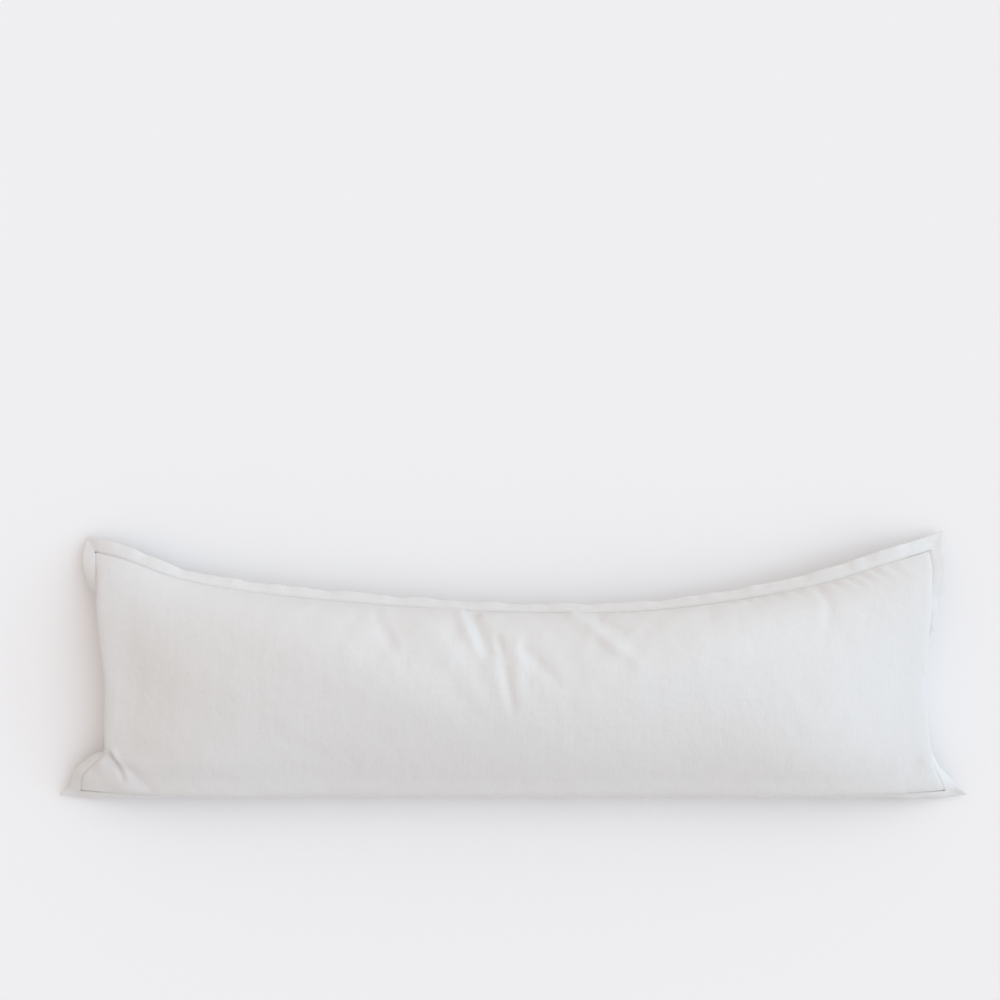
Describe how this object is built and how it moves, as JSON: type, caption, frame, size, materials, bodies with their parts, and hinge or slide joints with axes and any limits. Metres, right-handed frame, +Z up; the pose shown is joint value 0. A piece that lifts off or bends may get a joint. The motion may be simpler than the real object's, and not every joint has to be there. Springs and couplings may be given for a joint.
{
  "type": "lumbar pillow",
  "caption": "Long filled pillow with a flat stitched flange all round, lying on its back with its upper edge bowed in and its corners drawn out.",
  "frame": {"origin": "on the floor, under the middle of the footprint, with the pillow lying on its back", "axes": "+X along the pillow's length, +Y towards its bowed upper edge, +Z up, out of its face"},
  "size_m": [1.2728, 0.3774, 0.1537],
  "materials": {
    "cloth": "matt, off-white, washed plain weave with soft slubs"
  },
  "bodies": {
    "root": {"pillow_body": "cloth", "flange": "cloth"}
  },
  "joints": []
}
